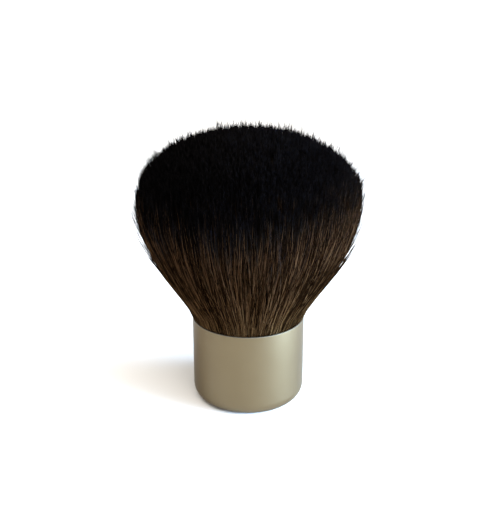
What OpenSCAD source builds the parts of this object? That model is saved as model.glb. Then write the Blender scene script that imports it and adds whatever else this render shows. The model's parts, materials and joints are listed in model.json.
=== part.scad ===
// Kabuki makeup brush: a short round face brush that stands on its own metal cup.
// The cup is ferrule and handle in one. The origin is the centre of its base, with +Z up.
// All lengths are in millimetres.

/* [Ferrule] */
// Outside diameter of the cup
ferrule_d = 32; // [24:0.5:44]
// Height of the cup, from the base to the rim
ferrule_h = 25; // [22:0.5:40]
// Sheet thickness of the drawn cup
ferrule_wall = 0.6; // [0.4:0.05:0.9]
// Outside radius of the rounded bottom edge
base_edge_r = 3.8; // [2:0.1:5]

/* [Hair] */
// Diameter of the hair at its widest
head_d = 61.8; // [50:0.2:80]
// Height of the widest place above the rim
flare_h = 35.7; // [26:0.1:45]
// Height of the dome above the widest place
dome_h = 18.1; // [10:0.1:24]
// How slowly the flare starts above the rim: 1 is a plain sine curve
flare_ease = 1.07; // [0.9:0.01:1.4]
// Rings of strands in the whole knot
hair_rings = 11; // [10:1:12]
// Rings of strands that belong to the inner bundle
core_rings = 6; // [4:1:8]
// Width of a strand as a share of the width at which neighbours would touch
strand_fill = 0.85; // [0.7:0.01:0.86]
// Angle that each strand turns about itself between its root and its middle
strand_turn = 30; // [0:1:30]
// How much shorter the shortest strand is, as a share of its length
tip_variation = 0.03; // [0:0.005:0.05]
// How far a tip may stray sideways, as a share of the distance between rings
tip_wander = 0.3; // [0:0.05:0.35]
// Depth below the rim at which the packed hair starts to spread
spread_drop = 4.7; // [3:0.1:6]
// Height of the epoxy around the butt of the hair
potting_h = 7.8; // [5.5:0.1:8.5]

/* [Inner cup] */
// Wall of the moulded liner
liner_wall = 1; // [0.8:0.1:1.4]
// Floor of the moulded liner
liner_floor = 1.2; // [0.8:0.1:1.5]
// Crush ribs around the liner
rib_count = 8; // [3:1:16]
// Width of a crush rib
rib_w = 1.2; // [0.8:0.1:2]
// How far a crush rib stands out from the liner
rib_h = 0.45; // [0.3:0.05:0.6]
// Radius of the locating spigot under the liner
spigot_r = 3; // [2:0.1:4]
// Length of the locating spigot
spigot_h = 3; // [1:0.1:3.5]

/* [Weight] */
// Thickness of the steel slug
weight_h = 5; // [4:0.1:6]
// Thickness of the adhesive disc under the slug
pad_h = 0.4; // [0.2:0.05:0.8]

/* [Binding] */
// Thickness of the binding thread
thread_d = 0.8; // [0.5:0.05:0.9]
// Turns of the binding thread
thread_turns = 5; // [3:1:6]

/* [Fits] */
// Clearance between loose pieces
slip_gap = 0.3; // [0.2:0.05:0.4]
// Clearance between pieces that are pressed or bonded together
bond_gap = 0.05; // [0.02:0.01:0.1]

/* [Hidden] */
$fn = 96;

// The cup
ferrule_r = ferrule_d / 2;
cavity_r = ferrule_r - ferrule_wall;
cavity_edge_r = base_edge_r - ferrule_wall;
flat_r = ferrule_r - base_edge_r;

// The stack that stands on the cup's floor
pad_z = ferrule_wall;
weight_z = pad_z + pad_h;
liner_z = weight_z + weight_h;
liner_floor_z = liner_z + liner_floor;
butt_z = liner_floor_z + potting_h;
spread_z = ferrule_h - spread_drop;

// The liner and what it holds
liner_r = cavity_r - rib_h - bond_gap;
liner_bore_r = liner_r - liner_wall;
liner_lip_r = liner_wall / 2;
liner_h = spread_z - slip_gap - liner_z;
plug_r = liner_bore_r - bond_gap;
thread_pitch = 0.85 * thread_d;
binding_h = (thread_turns - 1) * thread_pitch + thread_d;
binding_z = liner_floor_z + potting_h / 2;
thread_r = plug_r - thread_d / 2;
groove_r = thread_r - thread_d / 2 - bond_gap;

// The knot
packed_r = liner_bore_r - slip_gap;
rim_hair_r = cavity_r - slip_gap;
head_r = head_d / 2;
widest_z = ferrule_h + flare_h;

// Each strand has three corners at these shares of its length, and ends in a point
LEVELS = [0.24, 0.56, 0.86];
CORNERS = 3;
SECTORS = 6;
SECTOR_ANGLE = 360 / SECTORS;

// Turned by 30 degrees, neighbours touch when they are this much wider than at the root
turned_width = cos(SECTOR_ANGLE / 2 - strand_turn) / cos(SECTOR_ANGLE / 2);
strand_width = strand_fill * turned_width;
// How far the outermost turned corners would reach, as a share of the head's radius
turned_reach = 1 - 1 / (3 * hair_rings)
             + strand_width * 2 / (3 * hair_rings) * cos(SECTOR_ANGLE - strand_turn);

// The roots lie on rings: ring k has 6 k points, evenly spaced, on a disc of radius 1
function ring_size(k) = SECTORS * k;
function ring_start(k) = k == 0 ? 0 : 1 + SECTORS * k * (k - 1) / 2;
function ring_point(k, j) = k == 0 ? [0, 0] : k / hair_rings * [cos(360 * j / ring_size(k)),
                                                                sin(360 * j / ring_size(k))];

// Triangles between ring k - 1 and ring k in one sector, anticlockwise from above
function outward(k, q) = [for (j = [0 : 1 : k - 1])
    [[k - 1, q * (k - 1) + j], [k, q * k + j], [k, q * k + j + 1]]];
function inward(k, q) = [for (j = [1 : 1 : k - 1])
    [[k - 1, q * (k - 1) + j - 1], [k, q * k + j], [k - 1, q * (k - 1) + j]]];

// They take turns: a strand stands on every other triangle, so no two share a side
function strand_roots(k_in, k_out) = [for (k = [k_in + 1 : k_out]) for (q = [0 : SECTORS - 1])
    each (q % 2 == 0 ? outward(k, q) : inward(k, q))];
function gap_roots(k_in, k_out) = [for (k = [k_in + 1 : k_out]) for (q = [0 : SECTORS - 1])
    each (q % 2 == 0 ? inward(k, q) : outward(k, q))];

// The outline of the head: a flare from the rim to the widest place, then a dome
function flare_r(z) = z >= widest_z ? head_r
    : rim_hair_r + (head_r - rim_hair_r) * pow(sin(90 * (z - ferrule_h) / flare_h), flare_ease);
function dome_z(rho) = widest_z + dome_h * sqrt(max(0, 1 - rho * rho));

// A point q of the disc of roots, carried up to a share of the way from the rim to the dome
function carried(q, share) = let (z = ferrule_h + share * (dome_z(norm(q)) - ferrule_h))
    [q.x * flare_r(z), q.y * flare_r(z), z];

// A strand turns its corners about its own middle, and widens, by its first level
function centre(c) = (c[0] + c[1] + c[2]) / CORNERS;
function turned(c, i) = centre(c) + strand_width * (cos(strand_turn) * (c[i] - centre(c))
    + sin(strand_turn) * (c[(i + 1) % CORNERS] - c[(i + 2) % CORNERS]) / sqrt(3));
function strand_points(c, length, stray) = [
    for (level = LEVELS) for (i = [0 : CORNERS - 1]) carried(turned(c, i) / turned_reach, level * length),
    carried((centre(c) + stray) / turned_reach, length)];

// Faces around a closed ring of points, and from a ring to one point, seen from outside
function band(low, high) = [for (i = [0 : len(low) - 1]) let (n = (i + 1) % len(low))
    each [[low[i], high[i], high[n]], [low[i], high[n], low[n]]]];
function cone(low, tip) = [for (i = [0 : len(low) - 1]) [low[i], tip, low[(i + 1) % len(low)]]];
function run(first, count) = [for (i = [0 : 1 : count - 1]) first + i];
function reversed(list) = [for (i = [len(list) - 1 : -1 : 0]) list[i]];

// Faces of the flat ring between the butt's inner and outer outlines, seen from below
function flat_ring(inner, outer) = let (a = len(inner), b = len(outer)) concat(
    [for (j = [0 : b - 1]) [inner[floor(j * a / b + 0.5) % a], outer[j], outer[(j + 1) % b]]],
    [for (i = [0 : 1 : a - 1]) [inner[i], outer[ceil((i + 0.5) * b / a) % b], inner[(i + 1) % a]]]);

// One bundle of the knot, from ring k_in to ring k_out: its block of packed roots and its strands
module bundle(k_in, k_out, seed) {
    roots = strand_roots(k_in, k_out);
    shortening = rands(0, tip_variation, len(roots), seed);
    stray_angle = rands(0, 360, len(roots), seed + 1);
    stray_size = tip_wander / hair_rings;
    outlines = k_in == 0 ? [k_out] : [k_out, k_in];

    // Points: the roots at the rim, each outline at the spread and at the butt, then the strands
    rim_points = [for (k = [k_in : k_out]) for (j = [0 : max(ring_size(k), 1) - 1])
        let (p = rim_hair_r * ring_point(k, j)) [p.x, p.y, ferrule_h]];
    block_points = [for (k = outlines) for (z = [spread_z, butt_z]) for (j = [0 : ring_size(k) - 1])
        let (p = packed_r * ring_point(k, j)) [p.x, p.y, z]];
    hair_points = [for (s = [0 : len(roots) - 1])
        each strand_points([for (c = roots[s]) ring_point(c[0], c[1])], 1 - shortening[s],
                           stray_size * [cos(stray_angle[s]), sin(stray_angle[s])])];

    function rim_index(c) = ring_start(c[0]) - ring_start(k_in) + (c[0] == 0 ? 0 : c[1] % ring_size(c[0]));
    function corners(root) = [for (c = root) rim_index(c)];
    function rim_loop(k) = run(rim_index([k, 0]), ring_size(k));

    block_start = len(rim_points);
    outer_spread = run(block_start, ring_size(k_out));
    outer_butt = run(block_start + ring_size(k_out), ring_size(k_out));
    inner_spread = run(block_start + 2 * ring_size(k_out), ring_size(k_in));
    inner_butt = run(block_start + 2 * ring_size(k_out) + ring_size(k_in), ring_size(k_in));
    outer_side = concat(band(outer_butt, outer_spread), band(outer_spread, rim_loop(k_out)));
    inner_side = k_in == 0 ? [] : concat(band(inner_butt, inner_spread), band(inner_spread, rim_loop(k_in)));
    butt = k_in == 0
        ? [for (i = [1 : len(outer_butt) - 2]) [outer_butt[0], outer_butt[i], outer_butt[i + 1]]]
        : flat_ring(inner_butt, outer_butt);
    gaps = [for (root = gap_roots(k_in, k_out)) reversed(corners(root))];

    hair_start = block_start + len(block_points);
    points_each = CORNERS * len(LEVELS) + 1;
    hair_faces = [for (s = [0 : len(roots) - 1])
        let (first = hair_start + points_each * s,
             loops = concat([corners(roots[s])],
                            [for (i = [0 : len(LEVELS) - 1]) run(first + CORNERS * i, CORNERS)]))
        each concat([for (i = [0 : len(LEVELS) - 1]) each band(loops[i], loops[i + 1])],
                    cone(loops[len(LEVELS)], first + points_each - 1))];

    polyhedron(points = concat(rim_points, block_points, hair_points),
               faces = concat(outer_side, [for (f = inner_side) reversed(f)], butt, gaps, hair_faces));
}

// Drawn aluminium cup: one sheet thickness all over, a round bottom edge and a rounded cut rim
module ferrule_shell() {
    color([0.66, 0.62, 0.52])
    rotate_extrude() {
        difference() {
            union() {
                square([flat_r, ferrule_h]);
                translate([0, base_edge_r])
                    square([ferrule_r, ferrule_h - ferrule_wall / 2 - base_edge_r]);
                translate([flat_r, base_edge_r])
                    circle(base_edge_r);
            }
            translate([0, base_edge_r])
                square([cavity_r, ferrule_h]);
            translate([0, ferrule_wall])
                square([flat_r, ferrule_h]);
            translate([flat_r, base_edge_r])
                circle(cavity_edge_r);
        }
        translate([cavity_r + ferrule_wall / 2, ferrule_h - ferrule_wall / 2])
            circle(ferrule_wall / 2, $fn = 32);
    }
}

// Adhesive disc between the cup's floor and the slug
module weight_pad() {
    color([0.9, 0.9, 0.86])
    translate([0, 0, pad_z])
        cylinder(h = pad_h, r = flat_r - slip_gap);
}

// Turned steel slug: its lower edge follows the cup's round corner, and its bore takes the spigot
module base_weight() {
    slug_r = cavity_r - slip_gap;
    color([0.5, 0.5, 0.52])
    translate([0, 0, weight_z])
    rotate_extrude()
    difference() {
        union() {
            square([slug_r - cavity_edge_r, weight_h]);
            translate([0, cavity_edge_r])
                square([slug_r, weight_h - cavity_edge_r]);
            intersection() {
                translate([slug_r - cavity_edge_r, cavity_edge_r])
                    circle(cavity_edge_r);
                square([slug_r, weight_h]);
            }
        }
        square([spigot_r + slip_gap, weight_h]);
    }
}

// Moulded liner: crush ribs that grip the cup, a rounded lip and a spigot in the slug's bore
module inner_cup() {
    color([0.2, 0.2, 0.21]) {
        translate([0, 0, liner_z])
        rotate_extrude() {
            difference() {
                square([liner_r, liner_h - liner_lip_r]);
                translate([0, liner_floor])
                    square([liner_bore_r, liner_h]);
            }
            translate([liner_bore_r + liner_lip_r, liner_h - liner_lip_r])
                circle(liner_lip_r, $fn = 32);
            translate([0, -spigot_h])
                square([spigot_r, spigot_h + liner_floor]);
        }
        for (i = [0 : rib_count - 1])
            rotate([0, 0, 360 * i / rib_count])
            translate([liner_r - liner_wall / 2, -rib_w / 2, liner_z])
                cube([liner_wall / 2 + rib_h, rib_w, liner_h - 2 * liner_lip_r]);
    }
}

// Epoxy around the butt of the bundle, with the groove that the binding pulls in
module resin_plug() {
    color([0.78, 0.7, 0.45])
    rotate_extrude()
    difference() {
        translate([0, liner_floor_z])
            square([plug_r, butt_z - liner_floor_z]);
        translate([groove_r, binding_z - binding_h / 2 - bond_gap])
            square([plug_r, binding_h + 2 * bond_gap]);
    }
}

// Binding thread: tight turns side by side, waxed into one band
module knot_thread() {
    color([0.85, 0.83, 0.76])
    rotate_extrude()
    for (i = [0 : thread_turns - 1])
        translate([thread_r, binding_z + (i - (thread_turns - 1) / 2) * thread_pitch])
            circle(thread_d / 2, $fn = 32);
}

// Inner hair: the middle of the knot, whose tips make the crown of the dome
module hair_core() {
    color([0.04, 0.035, 0.04])
    bundle(0, core_rings, seed = 11);
}

// Outer hair: the layer that shows all round, brown towards the cup
module hair_skirt() {
    color([0.16, 0.12, 0.085])
    bundle(core_rings, hair_rings, seed = 29);
}

ferrule_shell();
weight_pad();
base_weight();
inner_cup();
resin_plug();
knot_thread();
hair_core();
hair_skirt();
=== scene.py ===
import json
import math

import bmesh
import bpy
import numpy as np
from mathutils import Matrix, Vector

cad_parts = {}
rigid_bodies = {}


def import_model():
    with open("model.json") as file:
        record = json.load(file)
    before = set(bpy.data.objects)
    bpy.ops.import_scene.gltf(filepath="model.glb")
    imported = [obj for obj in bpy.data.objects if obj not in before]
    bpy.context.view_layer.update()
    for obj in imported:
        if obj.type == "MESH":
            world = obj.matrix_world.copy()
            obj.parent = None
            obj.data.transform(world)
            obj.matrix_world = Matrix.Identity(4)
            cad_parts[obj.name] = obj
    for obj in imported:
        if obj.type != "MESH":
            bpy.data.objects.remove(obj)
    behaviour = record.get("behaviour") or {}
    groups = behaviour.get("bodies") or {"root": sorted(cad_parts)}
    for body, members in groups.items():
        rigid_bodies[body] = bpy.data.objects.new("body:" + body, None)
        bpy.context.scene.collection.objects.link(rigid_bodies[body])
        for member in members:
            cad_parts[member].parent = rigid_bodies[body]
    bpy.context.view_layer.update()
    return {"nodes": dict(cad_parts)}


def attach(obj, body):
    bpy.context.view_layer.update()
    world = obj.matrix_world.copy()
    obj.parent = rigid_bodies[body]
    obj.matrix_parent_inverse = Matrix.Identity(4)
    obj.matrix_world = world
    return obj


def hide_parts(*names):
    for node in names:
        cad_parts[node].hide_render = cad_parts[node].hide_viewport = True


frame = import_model()

# The camera stands where the photograph was taken: a little above the brush, looking down on
# the rim. The outline of the hair and both ends of the cup fit these values.
# Lengths are in metres, and MM turns millimetres into them.
MM = 0.001
PHOTO_H = 521
FOCAL_PIXELS = 889.0
ELEVATION = math.radians(21.26)
DISTANCE = 250 * MM
AIM = Vector((0.49 * MM, 0, 41.32 * MM))
SENSOR = 36.0
camera_data = bpy.data.cameras.new("photo_camera")
camera_data.sensor_width = SENSOR
camera_data.lens = FOCAL_PIXELS / PHOTO_H * SENSOR
camera_data.clip_start = 0.01
camera = bpy.data.objects.new("photo_camera", camera_data)
bpy.context.scene.collection.objects.link(camera)
camera.location = AIM + DISTANCE * Vector((0, -math.cos(ELEVATION), math.sin(ELEVATION)))
camera.rotation_euler = (AIM - camera.location).to_track_quat("-Z", "Y").to_euler()
bpy.context.scene.camera = camera
bpy.context.scene.view_settings.view_transform = "Standard"


# The cup is ferrule and handle in one: drawn from one aluminium sheet, bead blasted and then
# anodised a pale champagne. Its bottom edge is round, and the rim is trimmed and left as cut.
CUP_R = 16 * MM
CUP_H = 25 * MM
CUP_WALL = 0.6 * MM
CUP_EDGE_R = 3.8 * MM
CUP_SIDES = 192
CUP_EDGE_STEPS = 12
RIM_BEVEL = 0.16 * MM
RIM_BEVEL_STEPS = 3
RIM_BARE_FROM = 0.25 * MM
RIM_BARE_FULL = 0.1 * MM
NEAR = 0.01 * MM
SMOOTH_UP_TO = math.radians(35)


def deselect_all():
    for other in bpy.context.view_layer.objects:
        other.select_set(False)


def edit_piece(piece):
    deselect_all()
    bpy.context.view_layer.objects.active = piece
    piece.select_set(True)
    bpy.ops.object.mode_set(mode="EDIT")
    bpy.ops.mesh.select_all(action="DESELECT")
    return bmesh.from_edit_mesh(piece.data)


def select_edges(piece, mesh, wanted):
    for edge in mesh.edges:
        edge.select_set(wanted(edge))
    bmesh.update_edit_mesh(piece.data)


def select_faces(piece, mesh, wanted):
    for face in mesh.faces:
        face.select_set(wanted(face))
    bmesh.update_edit_mesh(piece.data)


def at_height(edge, z):
    return all(abs(corner.co.z - z) < NEAR for corner in edge.verts)


def finish_piece(piece, name):
    bpy.ops.object.mode_set(mode="OBJECT")
    deselect_all()
    piece.select_set(True)
    bpy.context.view_layer.objects.active = piece
    bpy.ops.object.transform_apply(location=True, rotation=True, scale=True)
    bpy.ops.object.shade_smooth_by_angle(angle=SMOOTH_UP_TO)
    piece.name = name
    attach(piece, "root")


def new_material(name):
    material = bpy.data.materials.new(name)
    material.use_nodes = True
    tree = material.node_tree
    return material, tree, tree.nodes["Principled BSDF"]


def wire(tree, source, target):
    tree.links.new(source, target)


def grain_group():
    """Fine grain of a blasted, moulded or turned surface: a mask and a bumped normal."""
    group = bpy.data.node_groups.new("fine_grain", "ShaderNodeTree")
    for name, kind, value in (
            ("Size", "NodeSocketFloat", 4000.0),
            ("Stretch", "NodeSocketVector", (1, 1, 1)),
            ("Depth", "NodeSocketFloat", 0.1)):
        socket = group.interface.new_socket(name=name, in_out="INPUT", socket_type=kind)
        socket.default_value = value
    group.interface.new_socket(name="Mask", in_out="OUTPUT", socket_type="NodeSocketFloat")
    group.interface.new_socket(name="Normal", in_out="OUTPUT", socket_type="NodeSocketVector")
    inside = group.nodes.new("NodeGroupInput")
    outside = group.nodes.new("NodeGroupOutput")
    place = group.nodes.new("ShaderNodeTexCoord")
    stretch = group.nodes.new("ShaderNodeVectorMath")
    stretch.operation = "MULTIPLY"
    noise = group.nodes.new("ShaderNodeTexNoise")
    noise.inputs["Detail"].default_value = 3.0
    bump = group.nodes.new("ShaderNodeBump")
    bump.inputs["Distance"].default_value = 0.05 * MM
    group.links.new(place.outputs["Object"], stretch.inputs[0])
    group.links.new(inside.outputs["Stretch"], stretch.inputs[1])
    group.links.new(stretch.outputs[0], noise.inputs["Vector"])
    group.links.new(inside.outputs["Size"], noise.inputs["Scale"])
    group.links.new(noise.outputs["Fac"], bump.inputs["Height"])
    group.links.new(inside.outputs["Depth"], bump.inputs["Strength"])
    group.links.new(noise.outputs["Fac"], outside.inputs["Mask"])
    group.links.new(bump.outputs["Normal"], outside.inputs["Normal"])
    return group


fine_grain = grain_group()


def add_grain(tree, shader, size, depth, stretch=(1, 1, 1)):
    grain = tree.nodes.new("ShaderNodeGroup")
    grain.node_tree = fine_grain
    grain.inputs["Size"].default_value = size
    grain.inputs["Depth"].default_value = depth
    grain.inputs["Stretch"].default_value = stretch
    wire(tree, grain.outputs["Normal"], shader.inputs["Normal"])
    return grain


def ramp_between(tree, factor, stops):
    ramp = tree.nodes.new("ShaderNodeValToRGB")
    elements = ramp.color_ramp.elements
    for element, (position, colour) in zip(elements, (stops[0], stops[-1])):
        element.position = position
        element.color = (*colour, 1)
    for position, colour in stops[1:-1]:
        elements.new(position).color = (*colour, 1)
    wire(tree, factor, ramp.inputs["Fac"])
    return ramp


def value_range(tree, factor, low, high):
    spread = tree.nodes.new("ShaderNodeMapRange")
    spread.inputs["To Min"].default_value = low
    spread.inputs["To Max"].default_value = high
    wire(tree, factor, spread.inputs["Value"])
    return spread.outputs["Result"]


deselect_all()
bpy.ops.mesh.primitive_cylinder_add(vertices=CUP_SIDES, radius=CUP_R, depth=CUP_H, end_fill_type="NGON",
                                    location=(0, 0, CUP_H / 2))
cup = bpy.context.active_object
bpy.ops.object.transform_apply(location=True, rotation=True, scale=True)
shell = edit_piece(cup)
select_edges(cup, shell, lambda edge: at_height(edge, 0))
bpy.ops.mesh.bevel(offset=CUP_EDGE_R, segments=CUP_EDGE_STEPS, profile=0.5, affect="EDGES")
shell = bmesh.from_edit_mesh(cup.data)
select_faces(cup, shell, lambda face: face.normal.z > 0.99)
bpy.ops.mesh.inset(thickness=CUP_WALL, depth=0)
bpy.ops.mesh.extrude_region_move(TRANSFORM_OT_translate={"value": (0, 0, CUP_EDGE_R - CUP_H)})
bpy.ops.mesh.extrude_region_move(TRANSFORM_OT_translate={"value": (0, 0, CUP_WALL - CUP_EDGE_R)})
floor_share = (CUP_R - CUP_EDGE_R) / (CUP_R - CUP_WALL)
bpy.ops.transform.resize(value=(floor_share, floor_share, 1))
shell = bmesh.from_edit_mesh(cup.data)
select_edges(cup, shell, lambda edge: at_height(edge, CUP_H))
bpy.ops.mesh.bevel(offset=RIM_BEVEL, segments=RIM_BEVEL_STEPS, profile=0.5, affect="EDGES")
finish_piece(cup, "champagne_cup")
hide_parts("ferrule_shell")

anodised, tree, shader = new_material("champagne_anodised")
shader.inputs["Metallic"].default_value = 1.0
shader.inputs["Specular Tint"].default_value = (0.36, 0.33, 0.28, 1)
shader.inputs["Coat Weight"].default_value = 0.6
shader.inputs["Coat Roughness"].default_value = 0.4
shader.inputs["Coat IOR"].default_value = 1.5
grain = add_grain(tree, shader, size=9000, depth=0.05)
cloud = tree.nodes.new("ShaderNodeTexNoise")
cloud.inputs["Scale"].default_value = 90
cloud.inputs["Detail"].default_value = 2
place = tree.nodes.new("ShaderNodeTexCoord")
wire(tree, place.outputs["Object"], cloud.inputs["Vector"])
tint = ramp_between(tree, cloud.outputs["Fac"], [(0.3, (0.127, 0.090, 0.040)),
                                                 (0.7, (0.140, 0.101, 0.047))])
# The trimmed rim has lost its dye
height = tree.nodes.new("ShaderNodeSeparateXYZ")
wire(tree, place.outputs["Object"], height.inputs[0])
cut = tree.nodes.new("ShaderNodeMapRange")
cut.inputs["From Min"].default_value = CUP_H - RIM_BARE_FROM
cut.inputs["From Max"].default_value = CUP_H - RIM_BARE_FULL
wire(tree, height.outputs["Z"], cut.inputs["Value"])
bare = tree.nodes.new("ShaderNodeMix")
bare.data_type = "RGBA"
bare.inputs["B"].default_value = (0.15, 0.125, 0.085, 1)
wire(tree, cut.outputs["Result"], bare.inputs["Factor"])
wire(tree, tint.outputs["Color"], bare.inputs["A"])
wire(tree, bare.outputs["Result"], shader.inputs["Base Color"])
sheen = tree.nodes.new("ShaderNodeMix")
sheen.inputs["B"].default_value = 0.65
wire(tree, cut.outputs["Result"], sheen.inputs["Factor"])
wire(tree, value_range(tree, grain.outputs["Mask"], 0.36, 0.46), sheen.inputs["A"])
wire(tree, sheen.outputs["Result"], shader.inputs["Roughness"])
cup.data.materials.append(anodised)


# The adhesive disc lies on the cup's floor: thin foam tape, die cut, which holds the slug.
# It is sealed in for good, and stays as constructed.
def dress(node, material):
    target = frame["nodes"][node]
    target.data.materials.clear()
    target.data.materials.append(material)


foam, tree, shader = new_material("foam_tape")
shader.inputs["Specular IOR Level"].default_value = 0.2
grain = add_grain(tree, shader, size=2500, depth=0.6)
tint = ramp_between(tree, grain.outputs["Mask"], [(0.35, (0.62, 0.6, 0.55)), (0.65, (0.82, 0.81, 0.76))])
wire(tree, tint.outputs["Color"], shader.inputs["Base Color"])
wire(tree, value_range(tree, grain.outputs["Mask"], 0.75, 0.95), shader.inputs["Roughness"])
dress("weight_pad", foam)


# The slug gives the brush a low, steady foot: a disc of mild steel, turned on both faces,
# with a spigot that centres the liner. The adhesive disc holds it down.
steel, tree, shader = new_material("turned_steel")
shader.inputs["Metallic"].default_value = 1.0
grain = add_grain(tree, shader, size=3000, depth=0.15, stretch=(0.1, 0.1, 1))
tint = ramp_between(tree, grain.outputs["Mask"], [(0.3, (0.3, 0.3, 0.31)), (0.7, (0.48, 0.48, 0.49))])
wire(tree, tint.outputs["Color"], shader.inputs["Base Color"])
wire(tree, value_range(tree, grain.outputs["Mask"], 0.28, 0.42), shader.inputs["Roughness"])
dress("base_weight", steel)


# The liner holds the knot in the cup: one black moulding of ABS with crush ribs outside,
# pressed in over the slug's spigot.
moulded, tree, shader = new_material("moulded_liner")
shader.inputs["Specular IOR Level"].default_value = 0.4
grain = add_grain(tree, shader, size=5000, depth=0.3)
tint = ramp_between(tree, grain.outputs["Mask"], [(0.3, (0.03, 0.03, 0.032)), (0.7, (0.045, 0.045, 0.048))])
wire(tree, tint.outputs["Color"], shader.inputs["Base Color"])
wire(tree, value_range(tree, grain.outputs["Mask"], 0.5, 0.65), shader.inputs["Roughness"])
dress("inner_cup", moulded)


# The butt of the knot is potted in the liner: amber two-part epoxy, poured around the roots
# and set hard.
epoxy, tree, shader = new_material("amber_epoxy")
shader.inputs["Coat Weight"].default_value = 0.4
grain = add_grain(tree, shader, size=700, depth=0.05)
tint = ramp_between(tree, grain.outputs["Mask"], [(0.3, (0.42, 0.27, 0.08)), (0.7, (0.6, 0.43, 0.16))])
wire(tree, tint.outputs["Color"], shader.inputs["Base Color"])
wire(tree, value_range(tree, grain.outputs["Mask"], 0.12, 0.25), shader.inputs["Roughness"])
dress("resin_plug", epoxy)


# The binding thread ties the bundle above its butt: waxed linen thread, wound five turns
# before the knot is potted.
waxed, tree, shader = new_material("waxed_thread")
shader.inputs["Specular IOR Level"].default_value = 0.3
grain = add_grain(tree, shader, size=2200, depth=0.8, stretch=(1, 1, 3))
tint = ramp_between(tree, grain.outputs["Mask"], [(0.3, (0.5, 0.46, 0.36)), (0.7, (0.72, 0.68, 0.56))])
wire(tree, tint.outputs["Color"], shader.inputs["Base Color"])
wire(tree, value_range(tree, grain.outputs["Mask"], 0.6, 0.8), shader.inputs["Roughness"])
dress("knot_thread", waxed)


# The middle of the knot: hair packed so close that it is one block between the hairs that show,
# coloured near black as painted shade in the gaps. It stands on the roots in the liner and
# carries the spread and the dome.
# The hair's sizes are in millimetres, and MM turns each finished point into metres.
RIM_HAIR_R = 15.33
HEAD_R = 30.9
RIM_Z = 25.0
WIDEST_Z = 60.7
DOME_H = 18.1
FLARE_EASE = 1.07
MIDDLE_SHARE = 0.86
MIDDLE_RINGS = 39
MIDDLE_SIDES = 96
MIDDLE_ROOT = 9.0
MIDDLE_SHOULDER = 2.0
MIDDLE_FLATTER = 1.0
MIDDLE_TOP = 3.0


def flare_radius(z):
    rise = np.clip((z - RIM_Z) / (WIDEST_Z - RIM_Z), 0, 1)
    return RIM_HAIR_R + (HEAD_R - RIM_HAIR_R) * np.sin(math.pi / 2 * rise) ** FLARE_EASE


def dome_height(rho):
    """The dome's height at rho, which is how far out a hair stands: 0 at the axis, 1 outside."""
    return WIDEST_Z + DOME_H * np.sqrt(np.clip(1 - rho * rho, 0, 1))


def middle_radius(z):
    under_dome = z > WIDEST_Z - MIDDLE_SHOULDER
    rise = (z - WIDEST_Z + MIDDLE_SHOULDER) / (DOME_H - MIDDLE_FLATTER)
    crown = math.sqrt(max(0.0, 1 - rise ** 2))
    return MIDDLE_SHARE * (HEAD_R * crown if under_dome else float(flare_radius(z)))


middle_top = float(dome_height(0)) - MIDDLE_TOP
middle_heights = np.linspace(RIM_Z - MIDDLE_ROOT, middle_top, MIDDLE_RINGS + 1)[:-1]
deselect_all()
bpy.ops.mesh.primitive_circle_add(vertices=MIDDLE_SIDES, radius=middle_radius(middle_heights[0]) * MM,
                                  fill_type="NGON", location=(0, 0, middle_heights[0] * MM))
packed_middle = bpy.context.active_object
edit_piece(packed_middle)
bpy.ops.mesh.select_all(action="SELECT")
for below, above in zip(middle_heights[:-1], middle_heights[1:]):
    wider = middle_radius(above) / middle_radius(below)
    bpy.ops.mesh.extrude_region_move(TRANSFORM_OT_translate={"value": (0, 0, (above - below) * MM)})
    bpy.ops.transform.resize(value=(wider, wider, 1))
bpy.ops.mesh.select_all(action="SELECT")
bpy.ops.mesh.normals_make_consistent(inside=False)
finish_piece(packed_middle, "packed_hair_painted_shade")
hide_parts("hair_core")

packed, tree, shader = new_material("packed_hair_painted_shade")
shader.inputs["Specular IOR Level"].default_value = 0.0
shader.inputs["Roughness"].default_value = 1.0
grain = add_grain(tree, shader, size=2500, depth=1.0, stretch=(1, 1, 0.1))
# The near-black colour is painted shade for the deep gaps, darker than the hair itself
tint = ramp_between(tree, grain.outputs["Mask"], [(0.3, (0.0008, 0.0006, 0.0004)),
                                                  (0.7, (0.009, 0.006, 0.003))])
wire(tree, tint.outputs["Color"], shader.inputs["Base Color"])
packed_middle.data.materials.append(packed)


# The hair of the knot: dark goat hair, brown along its length and black at the natural tips.
# It is packed in the cup, spreads from the rim, and the tips are set to a low dome.
RIM_BULGE = 0.45
BULGE_Z = 1.2
BULGE_SPAN = 0.9
RIM_ROLL = 0.45
ROLL_Z = 0.12
ROLL_SPAN = 0.9
SLACK_SHARE = 0.024
SLACK_Z = 67.0
SLACK_SPAN = 6.5
SHADES = 96
# From root to tip, as dye_along counts it. The blue cast of the last stops and the lighter
# very tip are painted sheen on the black tips.
BROWN_TO_BLACK_AND_SHEEN = [
    (0.0, (0.0195, 0.0101, 0.0036)),
    (0.12, (0.0180, 0.0090, 0.0034)),
    (0.4, (0.0190, 0.0092, 0.0040)),
    (0.5, (0.0162, 0.0081, 0.0038)),
    (0.6, (0.0098, 0.0056, 0.0031)),
    (0.7, (0.0052, 0.0037, 0.0028)),
    (0.82, (0.0039, 0.0032, 0.0028)),
    (0.95, (0.0028, 0.0026, 0.0033)),
    (1.0, (0.0100, 0.0095, 0.0108)),
]
# How much light each hair sends back, from the darkest hair to the palest
DARK_TO_PALE = [
    (0.0, (0.03, 0.025, 0.02)),
    (0.3, (0.22, 0.19, 0.15)),
    (0.6, (1.0, 0.96, 0.91)),
    (0.82, (3.1, 3.25, 3.5)),
    (1.0, (5.4, 5.9, 6.7)),
]


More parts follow.
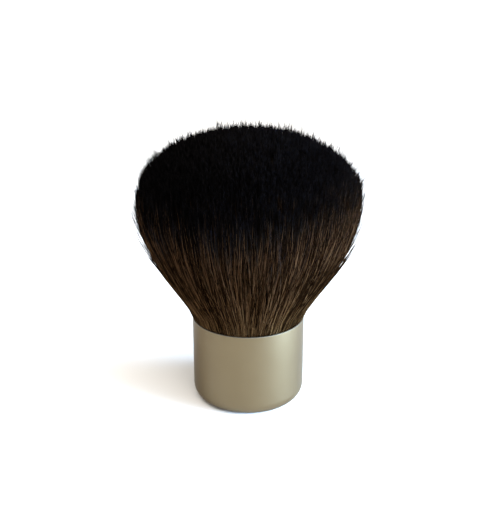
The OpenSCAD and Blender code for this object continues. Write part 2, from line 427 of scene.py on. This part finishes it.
def carried(x, y, tip_rho, share):
    """Places in the disc of roots, carried up to a share of the way to the dome over tip_rho.
    The hair swells and rolls over the rim, and one side of the head is a little slack."""
    z = RIM_Z + share * (dome_height(tip_rho)[:, None] - RIM_Z)
    above = np.clip(z - RIM_Z, 0, None)
    bulge = RIM_BULGE * np.exp(-((above - BULGE_Z) / BULGE_SPAN) ** 2)
    roll = RIM_ROLL * np.clip(above / ROLL_Z, 0, 1) * np.exp(-(above / ROLL_SPAN) ** 2)
    rho = np.hypot(x, y)
    slack_side = np.clip(-x / (rho + 1e-9), 0, 1)
    slack = SLACK_SHARE * slack_side ** 2 * np.exp(-((z - SLACK_Z) / SLACK_SPAN) ** 2) * rho ** 4
    radius = (flare_radius(z) + (bulge + roll) * rho ** 6) * (1 - slack)
    return np.stack([x * radius, y * radius, z], axis=-1)


def unit(vectors):
    return vectors / np.maximum(np.linalg.norm(vectors, axis=-1, keepdims=True), 1e-12)


def hair_mesh(name, lines, widths, shade, dye, turn):
    """One mesh of three-sided hairs. lines is hairs x points x 3, in mm, and each hair ends in a
    point. dye is its way from root to tip, and turn is how far its sides are turned."""
    count, points = lines.shape[:2]
    along = unit(np.gradient(lines, axis=1))
    outward = lines * (1, 1, 0) + (1e-3, 0, 0)
    across = unit(np.cross(along, outward))
    depth = np.cross(across, along)
    rings = points - 1
    angles = turn[:, None] + np.arange(3) * 2 * math.pi / 3
    offsets = (np.cos(angles)[:, None, :, None] * across[:, :rings, None]
               + np.sin(angles)[:, None, :, None] * depth[:, :rings, None])
    sides = lines[:, :rings, None] + offsets * widths[:, :rings, None, None] / 2
    own_vertices = rings * 3 + 1
    vertices = np.concatenate([sides.reshape(count, -1, 3), lines[:, -1:]], axis=1).reshape(-1, 3) * MM

    low = np.arange(rings - 1)[:, None] * 3 + np.arange(3)
    high = low + 3
    following = (np.arange(3) + 1) % 3
    quads = np.stack([low, low[:, following], high[:, following], high], axis=-1).reshape(-1, 4)
    last = (rings - 1) * 3 + np.arange(3)
    tips = np.stack([last, last[following], np.full(3, own_vertices - 1)], axis=-1)
    base = np.array([[2, 1, 0]])
    starts = np.arange(count)[:, None] * own_vertices
    quad_corners = (quads.reshape(-1) + starts).reshape(-1)
    triangle_corners = (np.concatenate([tips, base]).reshape(-1) + starts).reshape(-1)
    corners = np.concatenate([quad_corners, triangle_corners])
    quad_count = count * len(quads)
    triangle_count = count * (len(tips) + len(base))
    quad_starts = np.arange(quad_count) * 4
    triangle_starts = quad_count * 4 + np.arange(triangle_count) * 3
    loop_starts = np.concatenate([quad_starts, triangle_starts])

    mesh = bpy.data.meshes.new(name)
    mesh.vertices.add(len(vertices))
    mesh.vertices.foreach_set("co", vertices.ravel())
    mesh.loops.add(len(corners))
    mesh.loops.foreach_set("vertex_index", corners.astype(np.int32))
    mesh.polygons.add(len(loop_starts))
    mesh.polygons.foreach_set("loop_start", loop_starts.astype(np.int32))
    mesh.update(calc_edges=True)
    mesh.polygons.foreach_set("use_smooth", np.ones(len(loop_starts), bool))

    # Across the map goes the hair's shade, and up it the way from root to tip
    step = 0.5 / SHADES
    u = np.zeros((count, own_vertices))
    u[:, :-1] = shade[:, None] + np.tile((-0.4 * step, 0, 0.4 * step), rings)
    u[:, -1] = shade
    v = np.zeros((count, own_vertices))
    v[:, :-1] = np.repeat(dye[:, :rings], 3, axis=1)
    v[:, -1] = dye[:, -1]
    layer = mesh.uv_layers.new(name="OFBake")
    places = np.stack([u.reshape(-1), v.reshape(-1)], axis=-1)[corners]
    layer.data.foreach_set("uv", places.ravel())
    mesh.validate()
    piece = bpy.data.objects.new(name, mesh)
    bpy.context.scene.collection.objects.link(piece)
    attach(piece, "root")
    return piece


def hair_material():
    material, tree, shader = new_material("goat_hair")
    shader.inputs["Specular IOR Level"].default_value = 0.0
    shader.inputs["Roughness"].default_value = 0.6
    own = tree.nodes.new("ShaderNodeUVMap")
    own.uv_map = "OFBake"
    parts = tree.nodes.new("ShaderNodeSeparateXYZ")
    wire(tree, own.outputs["UV"], parts.inputs[0])
    length = ramp_between(tree, parts.outputs["Y"], BROWN_TO_BLACK_AND_SHEEN)
    shade = ramp_between(tree, parts.outputs["X"], DARK_TO_PALE)
    both = tree.nodes.new("ShaderNodeMix")
    both.data_type = "RGBA"
    both.blend_type = "MULTIPLY"
    both.inputs["Factor"].default_value = 1.0
    wire(tree, length.outputs["Color"], both.inputs["A"])
    wire(tree, shade.outputs["Color"], both.inputs["B"])
    wire(tree, both.outputs["Result"], shader.inputs["Base Color"])
    return material


goat_hair = hair_material()
random = np.random.default_rng(7)
# The side of the knot away from the windows, where the black reaches further down as painted shade.
PAINTED_SHADE_SIDE = math.radians(238)
BLACK_LEAST = 0.4
BLACK_MORE = 6.0
BLACK_LIMITS = (0.3, 14)
FADE_LEAST = 1.3
FADE_MORE = 5.2
BROWN_LENGTH = 34
WAVES_A_HAIR = (0.6, 1.3, 2.2)


def toward_painted_shade_side(angle):
    """1 on the side where the black of the tips reaches furthest down as painted shade, 0 opposite it."""
    return (1 + np.cos(angle - PAINTED_SHADE_SIDE)) / 2


def black_length(angle, spread):
    """How far the real black of the tips reaches down, in mm, plus painted shade: further down away from
    the windows.
    """
    return np.clip(BLACK_LEAST + BLACK_MORE * toward_painted_shade_side(angle) ** 3 + spread, *BLACK_LIMITS)


def dye_along(lines, black):
    """The dye from root to tip: 0 at the root, 0.4 where the brown starts to fade, 0.7 where the
    black starts, and 1 at the tip."""
    steps = np.linalg.norm(np.diff(lines, axis=1), axis=2)
    from_tip = np.cumsum(steps[:, ::-1], axis=1)[:, ::-1]
    from_tip = np.concatenate([from_tip, np.zeros((len(lines), 1))], axis=1)
    black = black[:, None]
    angle = np.arctan2(lines[:, -1, 1], lines[:, -1, 0])[:, None]
    # The fade is longer on the side away from the windows, as painted shade.
    fade = FADE_LEAST + FADE_MORE * toward_painted_shade_side(angle)
    tip = 1 - 0.3 * from_tip / black
    middle = 0.7 - 0.3 * (from_tip - black) / fade
    root = 0.4 - 0.4 * (from_tip - black - fade) / BROWN_LENGTH
    dye = np.where(from_tip < black, tip, np.where(from_tip < black + fade, middle, root))
    return np.clip(dye, 0.005, 0.995)


def waves(count, share, size):
    """Slow waves along each hair, nothing at its root."""
    share = np.clip(share, 0, 1)
    drift = np.zeros((count, len(share)))
    for number in WAVES_A_HAIR:
        phase = random.uniform(0, 2 * math.pi, (count, 1))
        height = random.normal(0, size / number, (count, 1))
        drift += height * (np.sin(2 * math.pi * number * share + phase) - np.sin(phase))
    return drift * share ** 0.5


def shade_step(values):
    return np.round(np.clip(values, 0.03, 0.97) * SHADES) / SHADES


def add_hair(name, pieces, node, lines, widths, shade, black):
    """Adds hairs as a few pieces of equal size, each with one stretch of the way round the knot."""
    turn = random.uniform(0, 2 * math.pi, len(lines))
    dye = dye_along(lines, black)
    order = np.argsort(np.arctan2(lines[:, 0, 1], lines[:, 0, 0]))
    for number, chosen in enumerate(np.array_split(order, pieces)):
        piece = hair_mesh(f"{name}_{number + 1}", lines[chosen], widths[chosen], shade[chosen],
                          dye[chosen], turn[chosen])
        piece.data.materials.append(goat_hair)
        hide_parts(node)


# The side of the knot, which shows all round. Three layers of small locks cross one another, with
# dark gaps between them, and the black of their tips starts unevenly.
SIDE_SHARES = np.array([-0.04, 0, 0.0035, 0.035, 0.1, 0.2, 0.33, 0.48, 0.65, 0.83, 0.94, 1])
# The inner layers' lower tone is painted shade for the gaps under the outer locks.
SIDE_LAYERS = (
    # name, locks, hairs a lock, from rho, to rho, width, lean, looseness, tone, unevenness, splay
    ("inner_side", 1600, 3, 0.86, 0.935, 0.17, 0.030, 0.0060, 0.28, 0.03, 0.008),
    ("middle_side", 1450, 2, 0.935, 0.972, 0.16, 0.045, 0.0040, 0.34, 0.04, 0.012),
    ("outer_side", 1900, 1, 0.972, 0.994, 0.17, 0.070, 0.0020, 0.40, 0.13, 0.016),
)
LOCK_SWAY = 0.009
LOCK_LIFT = 0.006
HAIR_SWAY = 0.004
HAIR_LIFT = 0.002
RHO_MOST = 1.003
RHO_SPREAD = 0.008
SIDE_LENGTH = 0.985
LENGTH_SPREAD = 0.008
EXCESS = 0.012
EXCESS_MOST = 0.06
TURN_OUT_FROM = 0.72
TURN_OUT_MOST = 0.09
PALE_SHARE = 0.13
LIGHT_SHARE = 0.28
LIGHT_TONE = 0.48
TONE_SPREAD = 0.10
RIGHT_PAINTED_LIGHT = 0.07
SIDES_PAINTED_LIGHT = 0.05
HAIRS_A_PIECE = 3600


def side_layer(name, locks, hairs_a_lock, rho_from, rho_to, width, lean, looseness, tone, uneven, splay):
    count = locks * hairs_a_lock
    share = SIDE_SHARES
    lock = np.repeat(np.arange(locks), hairs_a_lock)

    # The locks lean across one another, and their hairs close up in the middle of their length
    lock_angle = random.uniform(0, 2 * math.pi, locks)
    lock_rho = np.sqrt(random.uniform(rho_from ** 2, rho_to ** 2, locks))
    lock_turn = random.normal(0, lean, (locks, 1)) * share + waves(locks, share, LOCK_SWAY)
    lock_lift = waves(locks, share, LOCK_LIFT)
    gather = 1 - 0.4 * np.sin(math.pi * np.clip(share * 1.15, 0, 1)) + 0.5 * share ** 3
    own_turn = random.normal(0, looseness, (count, 1)) * gather + waves(count, share, HAIR_SWAY)
    own_lift = random.normal(0, looseness / 2, (count, 1)) * gather + waves(count, share, HAIR_LIFT)
    angle = lock_angle[lock][:, None] + lock_turn[lock] + own_turn
    rho = lock_rho[lock][:, None] + lock_lift[lock] + own_lift
    rho = np.minimum(rho, RHO_MOST - np.abs(random.normal(0, RHO_SPREAD, (count, 1))))
    tip_rho = rho[:, -1]

    # Some locks are longer than the rest, and turn outwards near their tips
    excess = np.clip(random.exponential(EXCESS, locks), 0, EXCESS_MOST)[lock]
    turned_out = np.clip(random.exponential(splay, locks), 0, TURN_OUT_MOST)[lock] + 0.9 * excess
    turning = np.clip((share - TURN_OUT_FROM) / (1 - TURN_OUT_FROM), 0, 1) ** 1.6
    rho = rho + turned_out[:, None] * turning
    length = SIDE_LENGTH - np.abs(random.normal(0, uneven, locks))[lock] + excess
    length = length + random.normal(0, LENGTH_SPREAD, count)
    lines = carried(rho * np.cos(angle), rho * np.sin(angle), tip_rho, share[None, :] * length[:, None])
    swell = 0.8 + 0.3 * np.sin(math.pi * np.clip(share * 1.1, 0, 1))
    taper = np.clip((1 - share) / 0.25, 0.25, 1)
    widths = width * random.uniform(0.7, 1.25, count)[:, None] * (swell * taper)[None, :]

    # Light and pale hairs lie between the dark ones, and a pale one has hardly any black
    pale = random.uniform(0, 1, count) < PALE_SHARE
    light = random.uniform(0, 1, count) < LIGHT_SHARE
    # Hairs are made lighter toward the right, darker toward the left and lighter at both sides, as painted
    # light.
    right = np.cos(angle[:, -1])
    shade = tone + random.normal(0, TONE_SPREAD, locks)[lock] + random.normal(0, TONE_SPREAD, count)
    shade = shade_step(shade + LIGHT_TONE * (light | pale) + RIGHT_PAINTED_LIGHT * right + SIDES_PAINTED_LIGHT * right ** 2)
    black = black_length(angle[:, -1], random.normal(0, 2.6, locks)[lock] + random.normal(0, 1.0, count))
    black = np.where(pale, BLACK_LIMITS[0], black)
    pieces = math.ceil(count / HAIRS_A_PIECE)
    add_hair(name, pieces, "hair_skirt", lines, widths, shade, black)


for layer in SIDE_LAYERS:
    side_layer(*layer)


# Hairs that stand away from the side, rooted in the cup with the rest: single pale ones that lie
# over the others, and strays that reach past the outline.
LOOSE_HAIRS = 900
STRAY_HAIRS = 380
LOOSE_SHARES = np.array([-0.04, 0, 0.035, 0.1, 0.19, 0.3, 0.42, 0.55, 0.68, 0.8, 0.9, 1])
LOOSE_RHO = 0.985
LOOSE_OUT = (-0.004, 0.01)
STRAY_OUT = (0.03, 0.12)
LOOSE_LENGTH = (0.55, 1.0)
STRAY_LENGTH = (0.55, 1.0)
LOOSE_WIDTH = 0.16
STRAY_WIDTH = 0.17
LOOSE_TONE = 0.82
STRAY_TONE = 0.42
FULL_LENGTH = 0.9


def loose_hair():
    count = LOOSE_HAIRS + STRAY_HAIRS
    stray = np.arange(count) >= LOOSE_HAIRS
    share = LOOSE_SHARES
    grown = np.clip(share, 0, 1)
    angle = random.uniform(0, 2 * math.pi, (count, 1)) + random.normal(0, 0.10, (count, 1)) * grown
    angle = angle + waves(count, share, 0.013)
    out = np.where(stray, random.uniform(*STRAY_OUT, count), random.uniform(*LOOSE_OUT, count))[:, None]
    rho = LOOSE_RHO + out * grown ** 2.2 + waves(count, share, 0.003)
    length = np.where(stray, random.uniform(*STRAY_LENGTH, count), random.uniform(*LOOSE_LENGTH, count))
    tip_rho = np.full(count, LOOSE_RHO)
    lines = carried(rho * np.cos(angle), rho * np.sin(angle), tip_rho, share[None, :] * length[:, None])
    taper = np.clip((1 - share) / 0.3, 0.3, 1)
    width = np.where(stray, STRAY_WIDTH, LOOSE_WIDTH)[:, None]
    widths = width * random.uniform(0.75, 1.2, (count, 1)) * taper
    shade = shade_step(np.where(stray, STRAY_TONE, LOOSE_TONE) + random.normal(0, 0.14, count))
    black = black_length(angle[:, -1], random.normal(-2.0, 1.8, count))
    black = np.where(length < FULL_LENGTH, BLACK_LIMITS[0], black)
    add_hair("loose_hair", 1, "hair_skirt", lines, widths, shade, black)


loose_hair()


# The crown: the tips of all the hairs inside, which make the dome. Only their last stretch shows,
# and they close up in small tufts of uneven height.
CROWN_TUFTS = 11500
HAIRS_A_TUFT = 3
CROWN_SHARES = np.array([0, 0.5, 0.8, 0.93, 1])
CROWN_SPLAY = np.array([0, 0, 0.1, 0.45, 1])
CROWN_TAPER = np.array([1, 1, 0.92, 0.65, 0.25])
CROWN_PIECES = 4
CROWN_START = 0.74
CROWN_WIDTH = 0.15
CROWN_RHO = 0.985
CROWN_RHO_MOST = 1.05
CROWN_LENGTH = 0.979
TUFT_LEAN = 0.018
TUFT_EXCESS = 0.0105
TUFT_EXCESS_MOST = 0.07
TUFT_UNEVEN = 0.014
HAIR_EXCESS = 0.008
HAIR_EXCESS_MOST = 0.05
CROWN_TONE = 0.43
CROWN_RIGHT_PAINTED_LIGHT = 0.06
CROWN_BLACK_MORE = 12


def crown_hair():
    count = CROWN_TUFTS * HAIRS_A_TUFT
    share = CROWN_SHARES
    tuft_angle = random.uniform(0, 2 * math.pi, CROWN_TUFTS)
    tuft_rho = CROWN_RHO * np.sqrt(random.uniform(0, 1, CROWN_TUFTS))
    tuft = np.repeat(np.arange(CROWN_TUFTS), HAIRS_A_TUFT)
    lean = random.normal(0, TUFT_LEAN, (2, CROWN_TUFTS, 1))[:, tuft] * share ** 4
    close = 1 - 0.85 * share ** 3
    own = random.normal(0, 0.013, (2, count, 1)) * close
    own = own + random.normal(0, 0.004, (2, count, 1)) * share ** 2
    excess = np.clip(random.exponential(TUFT_EXCESS, CROWN_TUFTS), 0, TUFT_EXCESS_MOST)
    turned_out = 1 + (1.6 * excess * tuft_rho ** 3)[tuft][:, None] * CROWN_SPLAY
    path_x = (tuft_rho * np.cos(tuft_angle))[tuft][:, None] * turned_out + lean[0] + own[0]
    path_y = (tuft_rho * np.sin(tuft_angle))[tuft][:, None] * turned_out + lean[1] + own[1]
    held = np.minimum(1, CROWN_RHO_MOST / np.hypot(path_x, path_y))
    length = CROWN_LENGTH + (excess - random.uniform(0, TUFT_UNEVEN, CROWN_TUFTS))[tuft]
    length = length + np.clip(random.exponential(HAIR_EXCESS, count), 0, HAIR_EXCESS_MOST)
    height = CROWN_START + (length[:, None] - CROWN_START) * share
    tip_rho = np.minimum(np.hypot(path_x, path_y)[:, 0], 0.99)
    lines = carried(path_x * held, path_y * held, tip_rho, height)
    widths = CROWN_WIDTH * random.uniform(0.7, 1.2, (count, 1)) * CROWN_TAPER
    shade = CROWN_TONE + random.normal(0, 0.05, CROWN_TUFTS)[tuft] + random.normal(0, 0.04, count)
    # Outer tufts toward the right are made lighter as painted light from the windows.
    shade = shade_step(shade + (CROWN_RIGHT_PAINTED_LIGHT * np.cos(tuft_angle) * tuft_rho ** 2)[tuft])
    black = black_length(tuft_angle[tuft], 0.2 + random.normal(0, 1.5, count))
    black = black + CROWN_BLACK_MORE * (1 - tuft_rho[tuft])
    add_hair("crown_hair", CROWN_PIECES, "hair_core", lines, widths, shade, black)


crown_hair()


# The studio: a pale floor that fills the view, a low and a high window on the right, a broad
# light from above and a dim fill from all round.
FLOOR_SIZE = 6
LOW_WINDOW = (0.40, -0.10, 0.052)
HIGH_WINDOW = (0.47, -0.14, 0.20)


def add_area_light(name, place, target, size, power, colour, spread):
    light = bpy.data.lights.new(name, "AREA")
    light.shape = "RECTANGLE"
    light.size = size[0]
    light.size_y = size[1]
    light.energy = power
    light.color = colour
    light.spread = math.radians(spread)
    lamp = bpy.data.objects.new(name, light)
    bpy.context.scene.collection.objects.link(lamp)
    lamp.location = place
    lamp.rotation_euler = (Vector(target) - Vector(place)).to_track_quat("-Z", "Y").to_euler()


deselect_all()
bpy.ops.mesh.primitive_plane_add(size=FLOOR_SIZE, location=(0, 0, 0))
table = bpy.context.active_object
table.name = "studio_floor"
paper, tree, shader = new_material("pale_paper")
shader.inputs["Base Color"].default_value = (0.9, 0.885, 0.86, 1)
shader.inputs["Roughness"].default_value = 0.9
table.data.materials.append(paper)

world = bpy.data.worlds.new("studio")
bpy.context.scene.world = world
world.use_nodes = True
background = world.node_tree.nodes["Background"]
background.inputs["Color"].default_value = (1, 0.965, 0.91, 1)
background.inputs["Strength"].default_value = 0.55

add_area_light("window_low", LOW_WINDOW, target=(0, 0, 0.02), size=(0.56, 0.09),
               power=3.1, colour=(0.42, 0.66, 1.0), spread=60)
add_area_light("window_high", HIGH_WINDOW, target=(0, 0, 0.05), size=(0.3, 0.2),
               power=0.7, colour=(0.85, 0.93, 1.0), spread=70)

ceiling = bpy.data.lights.new("ceiling_light", "SUN")
ceiling.energy = 3.35
ceiling.color = (1.0, 0.965, 0.92)
ceiling.angle = math.radians(60)
ceiling_lamp = bpy.data.objects.new("ceiling_light", ceiling)
bpy.context.scene.collection.objects.link(ceiling_lamp)
ceiling_lamp.location = (0.1, -0.5, 1.0)
ceiling_lamp.rotation_euler = (-ceiling_lamp.location).to_track_quat("-Z", "Y").to_euler()
